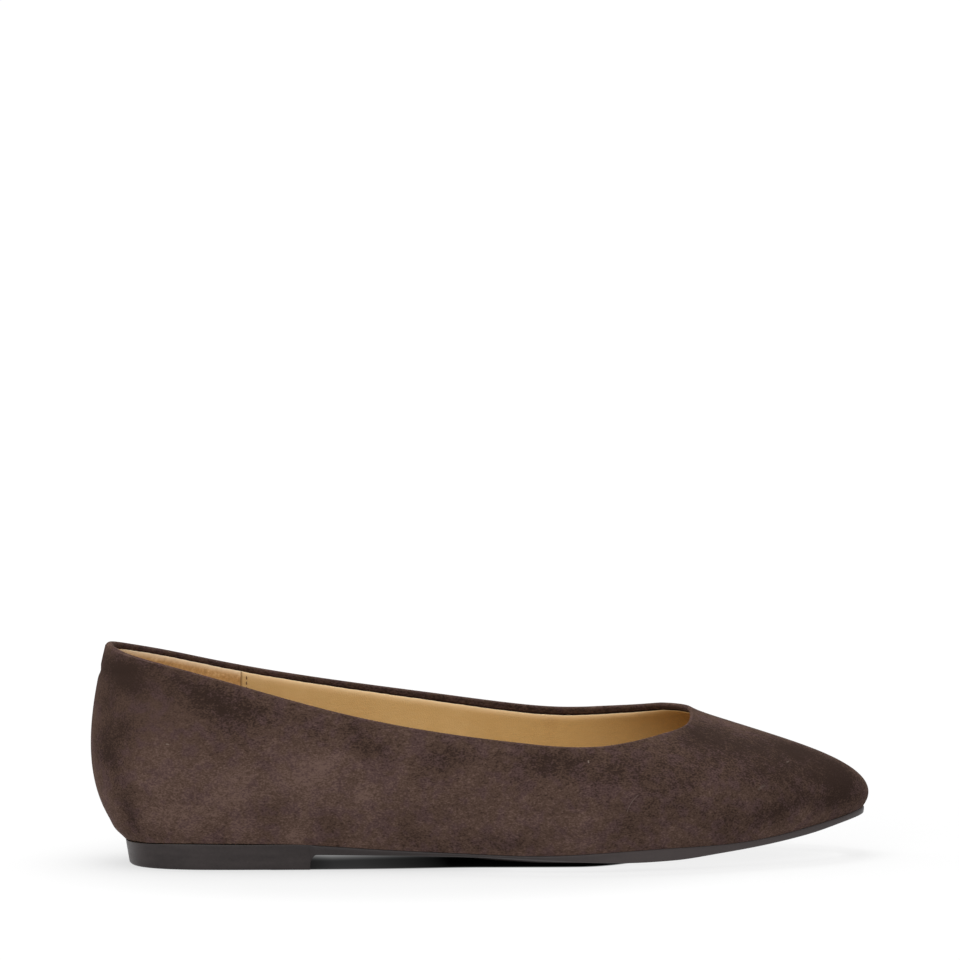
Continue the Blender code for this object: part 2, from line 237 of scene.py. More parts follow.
# Creases of the lateral and the medial side, in side view: the middle, half the length, half the width,
# the turn from level in degrees, and how far the suede sinks. A ridge sinks by less than nought.
Crease = namedtuple("Crease", "side x z run width turn sinks")
CREASES = [
    Crease("lateral", 12.0, 17.0, 9.0, 2.4, -74, 0.75),
    Crease("lateral", 5.0, 41.0, 10.0, 3.0, 88, 0.28),
    Crease("lateral", 17.0, 13.0, 4.0, 1.3, 104, 0.26),
    Crease("lateral", 21.0, 12.5, 3.2, 1.6, 70, 0.26),
    Crease("lateral", 72.0, 11.5, 5.5, 1.0, 90, 0.16),
    Crease("lateral", 45.0, 53.0, 14.0, 5.0, -17, 0.30),
    Crease("lateral", 80.0, 33.0, 5.0, 2.0, 92, -0.14),
    Crease("lateral", 148.0, 34.5, 13.0, 3.5, 4, 0.26),
    Crease("lateral", 206.0, 14.5, 9.0, 3.0, 12, 0.22),
    Crease("medial", 10.0, 19.0, 8.5, 2.6, -70, 0.50),
    Crease("medial", 18.5, 13.0, 4.0, 1.2, 100, 0.25),
    Crease("medial", 60.0, 40.0, 15.0, 5.0, -12, 0.28),
    Crease("medial", 98.0, 26.0, 12.0, 4.0, 18, 0.22),
    Crease("medial", 152.0, 38.0, 13.0, 3.5, -4, 0.26),
]
COUNTER_GROOVE, COUNTER_TOP_Z, COUNTER_GROOVE_WIDTH = 0.42, 63.6, 1.4
SEAT_ROLL, SEAT_ROLL_Z, SEAT_ROLL_WIDTH = 0.5, 11.8, 2.2
BACK_X, BACK_REACH = 2.0, 15.0
BACK_SEAM_GROOVE, BACK_SEAM_WIDTH = 0.38, 0.45
BACK_SEAM_RIDGE, BACK_SEAM_RIDGE_Y, BACK_SEAM_RIDGE_WIDTH = 0.16, 1.3, 0.8
BACK_SEAM_WITHIN_X = 30.0
SIDE_BLEND = 1.5


def side_view(face, x, z, turn):
    """A point's place along and across a line through (x, z), turned from level in the side view."""
    ahead, above = face[..., 0] - x, face[..., 2] - z
    turn = np.radians(turn)
    return ahead * np.cos(turn) + above * np.sin(turn), above * np.cos(turn) - ahead * np.sin(turn)


def on_side(face, side):
    """One on the named side of the shoe and nought on the other, through a smooth step across its middle."""
    facing = -1 if side == "lateral" else 1
    return 1 / (1 + np.exp(-np.clip(facing * face[..., 1] / SIDE_BLEND, -30, 30)))


def sunk(face):
    """How far the suede sinks at points of the outer face.

    Each crease is a bell across its line times a flatter bell of the fourth power along it. The groove over
    the heel stiffener's top edge and the roll over the heel seat follow one height each round the back, and
    the back seam follows y = 0 between two low ridges.
    """
    depth = np.zeros(face.shape[:-1])
    for crease in CREASES:
        along, across = side_view(face, crease.x, crease.z, crease.turn)
        shape = bell(across, crease.width) * np.exp(-((along / crease.run) ** 4))
        depth += crease.sinks * shape * on_side(face, crease.side)
    x, y, z = face[..., 0], face[..., 1], face[..., 2]
    at_back = bell(np.maximum(x - BACK_X, 0), BACK_REACH)
    depth += COUNTER_GROOVE * bell(z - COUNTER_TOP_Z, COUNTER_GROOVE_WIDTH) * at_back
    depth -= SEAT_ROLL * bell(z - SEAT_ROLL_Z, SEAT_ROLL_WIDTH) * at_back
    ridges = BACK_SEAM_RIDGE * bell(np.abs(y) - BACK_SEAM_RIDGE_Y, BACK_SEAM_RIDGE_WIDTH)
    depth += (x < BACK_SEAM_WITHIN_X) * (BACK_SEAM_GROOVE * bell(y, BACK_SEAM_WIDTH) - ridges)
    return depth


# Clouds of the nap, which also hold painted shade, darkest at the toe and on top of the vamp. In side view:
# the middle, half the length and height, the turn in degrees, and the tone, from -1 where the nap is laid
# dark or painted in shade to 1 where it is laid light. The medial side takes the same clouds, a little
# further back and more lightly.
Cloud = namedtuple("Cloud", "x z length height turn tone")
CLOUDS = [
    Cloud(7.5, 65.0, 10.0, 6.0, -10, -0.70),
    Cloud(15.0, 60.0, 10.0, 5.0, -20, -0.45),
    Cloud(40.5, 54.5, 12.0, 5.5, -28, -0.95),
    Cloud(11.5, 47.5, 6.0, 5.0, 0, -0.50),
    Cloud(5.5, 39.5, 4.5, 7.0, 0, -0.80),
    Cloud(12.2, 18.0, 9.0, 2.6, -74, -0.80),
    Cloud(6.0, 21.5, 8.0, 2.4, -64, 0.45),
    Cloud(23.0, 41.0, 6.0, 6.0, 0, 0.25),
    Cloud(28.5, 59.5, 5.0, 3.5, -20, -0.30),
    Cloud(46.0, 59.0, 5.0, 2.5, -16, -0.25),
    Cloud(18.5, 29.5, 5.0, 4.0, 0, 0.25),
    Cloud(32.0, 17.0, 10.0, 5.0, 0, 0.40),
    Cloud(22.0, 66.5, 8.0, 2.5, -18, -0.50),
    Cloud(12.5, 66.5, 7.0, 3.5, -14, -0.35),
    Cloud(35.0, 62.0, 11.0, 3.0, -17, -0.30),
    Cloud(69.0, 49.5, 14.0, 4.0, -16, -0.26),
    Cloud(8.0, 35.0, 4.0, 4.0, 0, -0.18),
    Cloud(28.0, 34.0, 7.0, 5.0, 0, 0.25),
    Cloud(51.0, 14.5, 5.0, 4.0, 0, 0.20),
    Cloud(5.5, 55.0, 4.0, 4.5, 0, -0.55),
    Cloud(21.5, 19.5, 8.0, 5.0, 0, 0.40),
    Cloud(53.5, 53.5, 8.5, 3.5, -22, -0.36),
    Cloud(46.0, 29.0, 9.0, 6.0, 8, 0.48),
    Cloud(45.0, 27.0, 26.0, 15.0, 0, 0.24),
    Cloud(61.0, 39.5, 5.0, 3.5, 0, 0.40),
    Cloud(57.0, 20.5, 6.0, 4.0, 0, -0.30),
    Cloud(47.5, 13.0, 4.0, 4.0, 0, 0.30),
    Cloud(66.5, 12.5, 5.0, 3.5, 0, 0.55),
    Cloud(73.0, 33.0, 8.0, 6.0, 10, 0.62),
    Cloud(88.5, 42.5, 8.0, 4.0, -25, -0.65),
    Cloud(89.5, 26.0, 5.0, 5.0, 0, 0.40),
    Cloud(86.0, 49.5, 6.0, 2.5, -14, -0.30),
    Cloud(102.0, 31.5, 5.0, 4.0, 0, 0.30),
    Cloud(95.0, 39.0, 5.0, 3.5, 0, -0.25),
    Cloud(74.5, 38.5, 4.5, 3.5, 0, 0.22),
    Cloud(115.5, 14.0, 5.0, 3.5, 0, 0.28),
    Cloud(131.0, 11.5, 5.0, 2.5, 0, 0.30),
    Cloud(137.0, 17.0, 5.0, 4.0, 0, 0.30),
    Cloud(78.0, 14.0, 7.0, 6.0, 0, -0.40),
    Cloud(103.0, 12.5, 9.0, 4.0, 0, -0.20),
    Cloud(126.0, 26.5, 6.0, 4.0, 0, -0.22),
    Cloud(114.5, 36.5, 8.0, 5.0, 20, -0.35),
    Cloud(118.0, 24.5, 9.0, 3.5, 0, 0.20),
    Cloud(134.0, 10.0, 17.0, 3.0, 0, -0.45),
    Cloud(148.0, 36.0, 11.0, 4.0, 4, -0.55),
    Cloud(148.5, 39.0, 5.0, 2.5, 2, -0.30),
    Cloud(158.0, 35.0, 13.0, 7.0, 0, -0.22),
    Cloud(141.0, 30.5, 5.0, 4.0, 0, -0.30),
    Cloud(163.0, 18.5, 9.0, 4.0, 0, 0.55),
    Cloud(157.0, 9.5, 8.0, 2.5, 0, 0.40),
    Cloud(176.0, 41.5, 6.0, 2.0, 6, -0.22),
    Cloud(173.0, 25.5, 4.0, 4.0, -10, 0.20),
    Cloud(175.5, 16.0, 6.5, 5.0, 0, -0.30),
    Cloud(173.0, 33.0, 12.0, 4.0, 8, -0.50),
    Cloud(183.0, 42.0, 4.0, 4.0, 0, 0.12),
    Cloud(192.0, 12.5, 12.0, 3.5, 0, 0.35),
    Cloud(181.0, 40.5, 15.0, 3.0, 4, -0.18),
    Cloud(201.0, 36.5, 6.0, 4.0, 0, -0.20),
    Cloud(219.5, 30.0, 6.0, 4.0, 0, -0.24),
    Cloud(193.0, 31.0, 12.0, 6.0, 0, -0.22),
    Cloud(199.0, 43.0, 8.0, 3.5, 0, -0.60),
    Cloud(214.0, 38.5, 14.0, 5.5, -20, -0.55),
    Cloud(200.0, 26.0, 5.0, 4.5, 12, 0.45),
    Cloud(215.5, 25.5, 7.0, 3.0, 0, 0.25),
    Cloud(207.5, 14.0, 4.5, 4.5, 0, -0.45),
    Cloud(195.0, 24.0, 52.0, 26.0, -6, -0.22),
    Cloud(233.0, 37.0, 9.0, 3.0, -22, -0.75),
    Cloud(225.0, 18.0, 9.0, 3.0, 8, -0.52),
    Cloud(221.5, 14.5, 5.0, 2.5, 8, -0.30),
    Cloud(239.5, 24.0, 5.0, 3.0, 10, 0.45),
    Cloud(238.0, 29.0, 16.0, 11.0, -10, -0.68),
    Cloud(247.0, 26.5, 7.0, 7.0, 0, -0.90),
    Cloud(233.0, 17.0, 4.5, 2.4, 14, 0.70),
    Cloud(232.0, 12.5, 22.0, 1.8, 14, 0.30),
]
MEDIAL_CLOUDS_BACK, MEDIAL_CLOUDS_SHARE = 9.0, 0.45

# The fingers that pull the shoe on press the nap flat at the top of the heel.
GRIP_X, GRIP_Z, GRIP_REACH = 14.0, 58.0, 20.0


def nap_laid(face):
    """The napped suede's tone and painted shade: the sum of the clouds, each a bell over an ellipse turned in
    the side view.
    """
    tone = np.zeros(face.shape[:-1])
    for side, back, share in (("lateral", 0.0, 1.0), ("medial", MEDIAL_CLOUDS_BACK, MEDIAL_CLOUDS_SHARE)):
        stroked = share * on_side(face, side)
        for cloud in CLOUDS:
            along, across = side_view(face, cloud.x - back, cloud.z, cloud.turn)
            tone += cloud.tone * bell(along, cloud.length) * bell(across, cloud.height) * stroked
    return tone


MERGE_WITHIN = 0.000002
SHARP_PAST = np.radians(50)


def grid_faces(rows, columns, rows_close=False, columns_close=False):
    """Four-sided faces over a grid: point (i, j) joins its neighbours at i + 1 and j + 1.

    The last i joins the first where the rows close, and the last j where the columns do.
    """
    i = np.arange(rows if rows_close else rows - 1)[:, None]
    j = np.arange(columns if columns_close else columns - 1)[None, :]
    i_next, j_next = (i + 1) % rows, (j + 1) % columns
    corners = [i * columns + j, i_next * columns + j, i_next * columns + j_next, i * columns + j_next]
    return np.stack(corners, axis=-1).reshape(-1, 4)


def new_mesh(name, points, faces, **attributes):
    """A mesh of points in metres and faces. Each attribute holds a value for each point."""
    mesh = bpy.data.meshes.new(name)
    mesh.from_pydata(points.reshape(-1, 3), [], faces)
    for label, values in attributes.items():
        layer = mesh.attributes.new(label, "FLOAT", "POINT")
        layer.data.foreach_set("value", values.ravel().astype(np.float32))
    return mesh


def new_object(name, data):
    """An object of the scene that shows a mesh, a light or a camera."""
    piece = bpy.data.objects.new(name, data)
    bpy.context.scene.collection.objects.link(piece)
    return piece


def shoe_piece(name, points, faces, sharp_past=SHARP_PAST, **attributes):
    """A piece from points in the shoe's millimetres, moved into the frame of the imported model.

    Doubled points are merged, the faces are turned outwards, and edges past an angle are shaded sharp.
    """
    mesh = new_mesh(name, (points + ROW_PLACE) * MM, faces, **attributes)
    shape = bmesh.new()
    shape.from_mesh(mesh)
    bmesh.ops.remove_doubles(shape, verts=shape.verts, dist=MERGE_WITHIN)
    bmesh.ops.recalc_face_normals(shape, faces=shape.faces)
    shape.to_mesh(mesh)
    shape.free()
    mesh.shade_smooth()
    mesh.set_sharp_from_angle(angle=sharp_past)
    return new_object(name, mesh)


def closed_piece(name, grid, round_the_shoe=False, **attributes):
    """A closed piece over a grid whose last j joins the first.

    The last i joins the first too where the grid goes round the shoe, and otherwise both end lines meet
    themselves, point on point.
    """
    faces = grid_faces(*grid.shape[:2], rows_close=round_the_shoe, columns_close=True)
    return shoe_piece(name, grid, faces, **attributes)


def columns_round(count, gathered):
    """Values of t round the shoe, evenly spread but gathered at the back of the heel by a sine."""
    u = np.arange(count) / count
    return PERIOD * u - gathered * np.sin(2 * np.pi * u) / np.pi


SUEDE_COLUMNS, SUEDE_ROWS, RIM_ROWS, BACK_ROWS = 600, 91, 10, 14
GATHERED_AT_HEEL = 0.75
t = columns_round(SUEDE_COLUMNS, GATHERED_AT_HEEL)
t_grid, v_grid = np.meshgrid(t, np.linspace(0, 1, SUEDE_ROWS), indexing="ij")
smooth = outer_wall(t_grid, v_grid)
out, _ = wall_frame(t_grid, v_grid)
outside = smooth - sunk(smooth)[..., None] * out

# The upper stands where its solid does: the middles of their boxes meet in plan.
solid_low, solid_high = (np.array(corner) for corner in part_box("upper"))
ROW_PLACE = (solid_low + solid_high) / 2 / MM - (smooth.min(axis=(0, 1)) + smooth.max(axis=(0, 1))) / 2
ROW_PLACE[2] = 0.0


def folded(t):
    """The turned edge's thickness and the height of its inner side.

    It is thickest over the back seam, and its inner side is higher at the ball and in the throat's corners,
    by a bell each.
    """
    round_shoe = np.mod(t, PERIOD)
    from_seam = np.minimum(round_shoe, PERIOD - round_shoe)
    from_tip = np.abs(round_shoe - PERIOD / 2)
    at_ball = BALL_FOLD * bell(collar_line(t)[..., 0] - BALL_X, BALL_REACH)
    at_throat = THROAT_FOLD * bell(from_tip - THROAT_CORNER_T, THROAT_REACH_T)
    return COLLAR_WALL + BACK_ROLL * bell(from_seam, BACK_ROLL_T), COLLAR_FOLD + at_ball + at_throat


def suede_rim(t, turns):
    """The turned edge: a half round, of half the folded edge's thickness, over the collar."""
    top = np.ones_like(t)
    out, rising = wall_frame(t, top)
    radius = folded(t)[0][:, None] / 2
    middle = outer_wall(t, top) - radius * out
    swing = np.cos(turns)[None, :, None] * out[:, None] + np.sin(turns)[None, :, None] * rising[:, None]
    return middle[:, None] + radius[:, None] * swing


def inside_wall(t, v, depth):
    """The outer face moved in by a depth along its own normal."""
    out, _ = wall_frame(t, v)
    return outer_wall(t, v) - np.asarray(depth)[..., None] * out


rim_turns = np.linspace(0, 180, RIM_ROWS + 1)[1:]
rim = suede_rim(t, np.radians(rim_turns))

# Down the fold's inner side: the distance past its lower edge, and how far it falls back into the wall there.
# Past the edge lies the back of the suede itself.
FOLD_STEPS = np.array([(-COLLAR_FOLD, 0.0), (-0.7, 0.0), (-0.4, 0.0), (-0.2, 0.1), (0.0, 0.4)])
PAST_FOLD = np.array([0.1, 0.6, 3.0])
thickness, fold = folded(t)
steps = np.concatenate([FOLD_STEPS[:, 0], PAST_FOLD])
band_v = np.stack([below_collar(t, fold + step) for step in steps], axis=1)
fold_depth = thickness[:, None] - FOLD_STEPS[:, 1]
band_depth = np.concatenate([fold_depth, np.full((SUEDE_COLUMNS, len(PAST_FOLD)), SUEDE)], axis=1)
band = inside_wall(np.broadcast_to(t[:, None], band_v.shape), band_v, band_depth)
back_v = band_v[:, -1:] * np.linspace(1, 0, BACK_ROWS)[None, :]
back = inside_wall(np.broadcast_to(t[:, None], back_v.shape), back_v, SUEDE)
suede_grid = np.concatenate([outside, rim, band, back], axis=1)

# The turned edge has a painted highlight along its top and just below it on the outer face, and painted shade
# on its inner side, deeper towards the throat.
SHADE_START_X, SHADE_RUN, SHADE_LEAST, SHADE_MOST = 20.0, 40.0, 0.3, 0.85
SHADE_TURN, SHADE_TURN_RUN = 100.0, 80.0
WORN_TOP, WORN_TURN, WORN_TURN_REACH = 0.5, 95.0, 18.0
WORN_END_X, WORN_FADE = 178.0, 20.0
WORN_BELOW, WORN_DROP, WORN_DROP_REACH = 0.2, 1.5, 1.0
in_shade = np.clip((suede_grid[:, SUEDE_ROWS:, 0] - SHADE_START_X) / SHADE_RUN, SHADE_LEAST, SHADE_MOST)
turned_in = np.clip((rim_turns - SHADE_TURN) / SHADE_TURN_RUN, 0, 1)
worn_along = np.clip((WORN_END_X - rim[..., 0]) / WORN_FADE, 0, 1)
# The top of the half round takes a painted highlight that fades out towards the throat; the rest of the inner
# side keeps its painted shade.
in_shade[:, :RIM_ROWS] *= turned_in - WORN_TOP * bell(rim_turns - WORN_TURN, WORN_TURN_REACH) * worn_along
drop = np.linalg.norm(outside - outside[:, -1:], axis=-1)
edge = np.concatenate([-WORN_BELOW * bell(drop - WORN_DROP, WORN_DROP_REACH), in_shade], axis=1)
unmarked = np.zeros(in_shade.shape)
nap = np.concatenate([nap_laid(smooth), unmarked], axis=1)
from_grip = np.hypot(smooth[..., 0] - GRIP_X, smooth[..., 2] - GRIP_Z)
pressed = np.concatenate([bell(from_grip, GRIP_REACH), unmarked], axis=1)
upper = closed_piece("suede_upper", suede_grid, round_the_shoe=True, nap=nap, edge=edge, pressed=pressed)


class Tone:
    """A socket of one material. Arithmetic on it adds Math nodes, and node() adds any other kind."""

    def __init__(self, tree, socket):
        self.tree = tree
        self.socket = socket

    def node(self, kind, settings, sockets, output=0):
        new = self.tree.nodes.new(kind)
        for name, setting in settings.items():
            setattr(new, name, setting)
        for key, value in sockets.items():
            if isinstance(value, Tone):
                self.tree.links.new(value.socket, new.inputs[key])
            else:
                new.inputs[key].default_value = value
        return Tone(self.tree, new.outputs[output])

    def math(self, operation, first, second=0.0):
        return self.node("ShaderNodeMath", {"operation": operation}, {0: first, 1: second})

    def __add__(self, other):
        return self.math("ADD", self, other)

    __radd__ = __add__

    def __sub__(self, other):
        return self.math("SUBTRACT", self, other)

    def __rsub__(self, other):
        return self.math("SUBTRACT", other, self)

    def __mul__(self, other):
        return self.math("MULTIPLY", self, other)

    __rmul__ = __mul__

    def between(self, low, high):
        """Nought below low and one above high, through a smooth step."""
        return self.node(
            "ShaderNodeMapRange", {"interpolation_type": "SMOOTHSTEP"},
            {"Value": self, "From Min": low, "From Max": high},
        )

    def tint(self, dark, light):
        """The colour at this share of the way from one colour to another."""
        dark, light = (side if isinstance(side, Tone) else (*side, 1.0) for side in (dark, light))
        return self.node("ShaderNodeMix", {"data_type": "RGBA"}, {0: self, 6: dark, 7: light}, output=2)

    def painted(self, name):
        """The value that the piece's mesh holds under a name."""
        return self.node("ShaderNodeAttribute", {"attribute_name": name}, {}, output="Fac")

    def axis(self, name):
        """One coordinate of this place."""
        return self.node("ShaderNodeSeparateXYZ", {}, {0: self}, output=name)

    def into(self, shader, socket):
        self.tree.links.new(self.socket, shader.inputs[socket])


def finish(name, **constants):
    """A material with constant values on its shader's own sockets, and its Object coordinates in metres."""
    material = bpy.data.materials.new(name)
    material.use_nodes = True
    shader = material.node_tree.nodes["Principled BSDF"]
    for socket, value in constants.items():
        shader.inputs[socket.replace("_", " ")].default_value = value
    place = Tone(material.node_tree, None).node("ShaderNodeTexCoord", {}, {}, output="Object")
    return material, shader, place


def clouds(place, size, detail=2.0, roughness=0.5):
    """Soft noise whose patches are about that many metres across, from 0 to 1."""
    sockets = {"Vector": place, "Scale": 1 / size, "Detail": detail, "Roughness": roughness}
    return place.node("ShaderNodeTexNoise", {}, sockets)


def stretched(place, scale, turn=(0.0, 0.0, 0.0)):
    """The coordinates turned and scaled on each axis, so that a pattern runs long on the axis scaled down."""
    return place.node("ShaderNodeMapping", {}, {"Vector": place, "Rotation": turn, "Scale": scale})


def bumped(place, height, distance, strength=1.0, under=None):
    """A normal from a height between 0 and 1, worth that many metres, over another bump."""
    sockets = {"Height": height, "Distance": distance, "Strength": strength}
    if under is not None:
        sockets["Normal"] = under
    return place.node("ShaderNodeBump", {}, sockets)


SUEDE_DARK = (0.026, 0.0154, 0.0120)
SUEDE_MID = (0.0600, 0.0362, 0.0275)
SUEDE_PLUM = (0.0600, 0.0355, 0.0330)
SUEDE_LIGHT = (0.108, 0.0680, 0.0550)
LINT = (0.30, 0.24, 0.20)

# Strokes on the lateral side where a nail or a fibre has lifted the nap: the middle in side view, the turn in
# degrees, half the length and width, the bow at its ends, and how light it is.
Stroke = namedtuple("Stroke", "x z turn length width bow light")
STROKES = [
    Stroke(175.4, 23.2, 56, 4.0, 0.17, 0.8, 0.14),
    Stroke(229.0, 33.2, 12, 0.6, 0.25, 0.0, 0.16),
    Stroke(161.6, 36.4, 105, 0.5, 0.28, 0.0, 0.40),
    Stroke(24.6, 42.0, -10, 0.6, 0.25, 0.0, 0.28),
    Stroke(219.2, 26.4, 28, 1.6, 0.50, 0.2, 0.10),
]


def stroke_mask(place, stroke):
    """One on a stroke and nought off it, from squared distances along and across its bowed line."""
    turn = np.radians(stroke.turn)
    x = place.axis("X") * (1 / MM) - (stroke.x + ROW_PLACE[0])
    z = place.axis("Z") * (1 / MM) - stroke.z
    lateral = 1 - place.axis("Y").between(-MM, 0.0)
    along = np.cos(turn) * x + np.sin(turn) * z
    across = np.cos(turn) * z - np.sin(turn) * x + (stroke.bow / stroke.length**2) * (along * along)
    near = 1 - (across * across).between(0.1 * stroke.width**2, stroke.width**2)
    within = 1 - (along * along).between(0.5 * stroke.length**2, stroke.length**2)
    return near * within * lateral * stroke.light


suede, shader, place = finish(
    "napped_suede", Roughness=0.98, Specular_IOR_Level=0.04, Sheen_Weight=0.12, Sheen_Roughness=0.25,
    Sheen_Tint=(0.60, 0.42, 0.33, 1.0),
)
brushed = stretched(place, (0.5, 1.0, 1.0))
broad = clouds(brushed, 0.016, 2.0)
patchy = clouds(place, 0.005, 3.0, 0.6)
fibre = clouds(brushed, 0.0012, 4.0, 0.7)
grain = clouds(stretched(place, (0.6, 1.0, 1.0)), 0.00045, 2.0, 0.6)
ruffled = 1 - 0.55 * place.painted("pressed")
mottle = 0.52 * (patchy - 0.5) + 0.85 * (fibre - 0.5) + 1.55 * (grain - 0.5)
# The nap values hold the nap and painted shade; the edge values hold the turned edge's painted highlight and
# painted shade.
laid = 0.505 + 0.5 * place.painted("nap") - 0.30 * place.painted("edge")
tone = laid + 0.4 * (broad - 0.5) + ruffled * mottle

# Specks of lint: small round cells of a cell pattern, kept where a cloud picks them.
speck = place.node("ShaderNodeTexVoronoi", {}, {"Vector": place, "Scale": 110.0, "Randomness": 1.0})
chosen = clouds(place, 0.009, 0.0).between(0.66, 0.69)
lint = 0.7 * ((1 - speck.between(0.010, 0.022)) * chosen)
for stroke in STROKES:
    lint = lint + stroke_mask(place, stroke)
middle = clouds(place, 0.0045, 2.0).between(0.43, 0.65).tint(SUEDE_MID, SUEDE_PLUM)
colour = tone.between(0.0, 0.5).tint(SUEDE_DARK, tone.between(0.45, 1.0).tint(middle, SUEDE_LIGHT))
lint.tint(colour, LINT).into(shader, "Base Color")
pile = bumped(place, patchy, 0.0005, 0.25)
pile = bumped(place, ruffled * fibre, 0.00035, 0.45, pile)
bumped(place, ruffled * grain, 0.00018, 0.7, pile).into(shader, "Normal")
upper.data.materials.append(suede)
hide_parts("upper")
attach(upper, "root")


# Lining. Smooth tan leather lines the vamp and both sides, and an orange-brown split, rough side out, grips
# the heel. The leather's back edges lie over the split and are stitched down. Both are glued in, and their
# cut top edge shows just below the turned edge of the suede: pale as a cut edge is, and widened by a painted
# highlight that fades out towards the throat. The leather takes painted shade deep under the vamp and painted
# light by the heel seam.
LINING_DEPTH, LINING_THICKNESS = 2.1, 0.45
LINING_BELOW_FOLD = 0.4
HEEL_LINING_SET_BACK = 0.2
LINING_SEAM_X, LINING_SEAM_LAP = 53.4, 0.6
LINING_SEAM_T = float(station(LINING_SEAM_X))
VAMP_LINING_X, VAMP_LINING_FADE = 158.0, 45.0
RAW_EDGE, HEEL_RAW_EDGE = 1.2, 1.1
RAW_EDGE_END_X, RAW_EDGE_FADE = 194.0, 14.0
BURNISHED_EDGE = 0.4
PALE_BY_SEAM = 18.0
CUT_EDGE_ROUND, CUT_EDGE_RISE, CUT_EDGE_WANDER = 0.4, 0.003, 0.03
SLACK, MORE_SLACK = 0.07, 0.10
FRONT_COLUMNS, HEEL_COLUMNS, LINING_ROWS = 420, 220, 40

# About how many millimetres of the wall go to each unit of t.
MM_FOR_EACH_T = 280.0


def lining_columns(start, end, count):
    """Values of t from one cut edge to the other: even, with a quarter circle's spacing at both edges."""
    t_edge = CUT_EDGE_ROUND / MM_FOR_EACH_T
    quarter = t_edge * (1 - np.cos(np.linspace(0, np.pi / 2, 6)))
    even = np.linspace(start + 2 * t_edge, end - 2 * t_edge, count)
    return np.concatenate([start + quarter, even, end - quarter[::-1]])


def lining_sheet(t, depth, rows):
    """A closed thin sheet along the inside of the wall.

    The face lies at a depth from the outer face, from the wall's foot up to a cut edge that wanders by two
    sines below the suede's fold, and slack waves it by two more. Over the cut edge the sheet turns by half an
    ellipse to its back. At both end edges the thickness runs out as a quarter circle. The distances to the
    top edge and to the nearer end come with it.
    """
    ends = np.minimum(t - t[0], t[-1] - t) * MM_FOR_EACH_T / CUT_EDGE_ROUND
    full = np.sqrt(np.clip(1 - (1 - np.clip(ends, 0, 1)) ** 2, 0, 1))
    wander = CUT_EDGE_WANDER * (np.sin(2 * np.pi * t * 23) + np.sin(2 * np.pi * t * 71 + 1.0))
    top = below_collar(t, folded(t)[1] + LINING_BELOW_FOLD + wander)[:, None]
    shares = np.linspace(0, 1, rows) ** 0.9
    turn = np.linspace(0, np.pi, 7)[1:-1]
    v = np.concatenate([
        top * shares[None, :], top + CUT_EDGE_RISE * np.sin(turn)[None, :], top * shares[None, ::-1],
    ], axis=1)
    middle = depth - LINING_THICKNESS / 2
    half = np.concatenate([np.ones(rows), np.cos(turn), -np.ones(rows)])
    slack = MORE_SLACK * np.sin(t * 55 + 0.6) + SLACK * np.sin(t * 31)
    eased = np.sin(np.pi * shares) ** 2
    eased = np.concatenate([eased, np.zeros(len(turn)), eased[::-1]])
    depths = middle + LINING_THICKNESS / 2 * half[None, :] * full[:, None] - slack[:, None] * eased[None, :]
    sheet = inside_wall(np.broadcast_to(t[:, None], v.shape), v, depths)
    from_top = np.linalg.norm(sheet - sheet[:, rows:rows + 1], axis=-1)
    from_end = np.broadcast_to((ends * CUT_EDGE_ROUND)[:, None], v.shape)
    return sheet, from_top, from_end


front_t = lining_columns(LINING_SEAM_T, PERIOD - LINING_SEAM_T, FRONT_COLUMNS)
sheet, from_top, from_end = lining_sheet(front_t, LINING_DEPTH, LINING_ROWS)
front_lining = closed_piece(
    "leather_lining", sheet, burnished=bell(from_end, BURNISHED_EDGE),
    raw=bell(from_top, RAW_EDGE) * np.clip((RAW_EDGE_END_X - sheet[..., 0]) / RAW_EDGE_FADE, 0, 1),
    under_vamp=np.clip((sheet[..., 0] - VAMP_LINING_X) / VAMP_LINING_FADE, 0, 1),
    by_seam=bell(sheet[..., 0] - LINING_SEAM_X, PALE_BY_SEAM),
)
heel_end = LINING_SEAM_T + LINING_SEAM_LAP / MM_FOR_EACH_T
heel_t = lining_columns(-heel_end, heel_end, HEEL_COLUMNS)
sheet, from_top, _ = lining_sheet(heel_t, LINING_DEPTH - HEEL_LINING_SET_BACK, LINING_ROWS)
heel_lining = closed_piece("heel_lining", sheet, raw=bell(from_top, HEEL_RAW_EDGE))

LEATHER_DEEP = (0.36, 0.205, 0.070)
LEATHER_TAN = (0.52, 0.336, 0.132)
LEATHER_PALE = (0.62, 0.425, 0.195)
LEATHER_UNDER_VAMP = (0.26, 0.138, 0.042)
LEATHER_RAW = (0.86, 0.64, 0.38)
LEATHER_BURNISHED = (0.085, 0.038, 0.014)

leather, shader, place = finish("smooth_leather", Specular_IOR_Level=0.35)
broad = clouds(stretched(place, (1.0, 1.0, 0.5)), 0.018, 3.0)
wrinkle = clouds(stretched(place, (0.6, 1.0, 1.6)), 0.0022, 4.0, 0.6)
pores = place.node(
    "ShaderNodeTexVoronoi", {"feature": "DISTANCE_TO_EDGE"}, {"Vector": place, "Scale": 1400.0},
)
# Painted light: the leather is lighter near the heel seam.
shade = 0.5 + 0.6 * (broad - 0.5) + 0.30 * (wrinkle - 0.5) + 0.3 * place.painted("by_seam")
hide = shade.between(0.1, 0.5).tint(LEATHER_DEEP, shade.between(0.45, 1.0).tint(LEATHER_TAN, LEATHER_PALE))
# Painted shade: the leather darkens deep under the vamp.
hide = place.painted("under_vamp").tint(hide, LEATHER_UNDER_VAMP)
